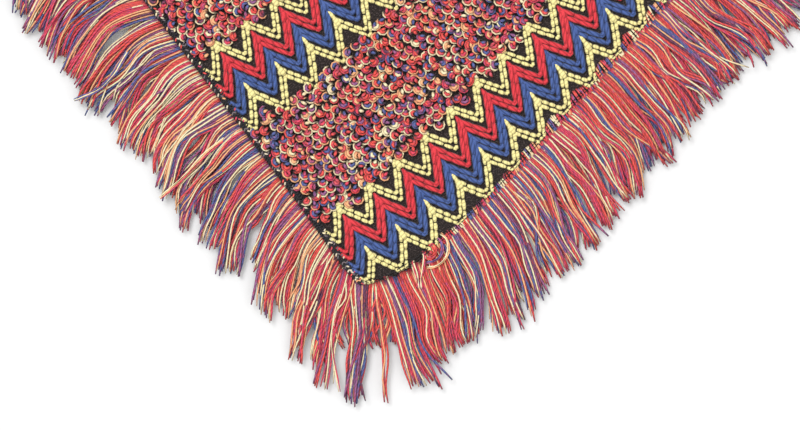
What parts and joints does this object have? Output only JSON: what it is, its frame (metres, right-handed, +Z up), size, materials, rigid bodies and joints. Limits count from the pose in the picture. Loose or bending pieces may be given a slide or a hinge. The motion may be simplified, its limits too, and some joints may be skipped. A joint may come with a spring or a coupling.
{
  "type": "fringed knitted poncho",
  "caption": "Poncho of two folded knitted rectangles with zigzag and puff bands, laid flat with its front point down, a V neck opening at the top and yarn fringe along the hems.",
  "frame": {"origin": "middle of the garment's extent, on the surface that it lies on", "axes": "+Z up out of the surface, +Y from the front point towards the neck, +X to the right seen from above"},
  "size_m": [1.1472, 1.1328, 0.0087],
  "materials": {
    "front_knit": "matt knitted wool with zigzag and puff bands",
    "back_knit": "matt knitted wool with zigzag and puff bands",
    "fringe_yarn": "soft twisted yarn in red, cream, orange and blue",
    "fringe_yarn_under": "soft twisted yarn in red, plum, cream and blue"
  },
  "bodies": {
    "root": {"panel_front": "front_knit", "panel_back": "back_knit", "fringe_front_right": "fringe_yarn", "fringe_front_left": "fringe_yarn", "fringe_back_right": "fringe_yarn_under", "fringe_back_left": "fringe_yarn_under"}
  },
  "joints": []
}
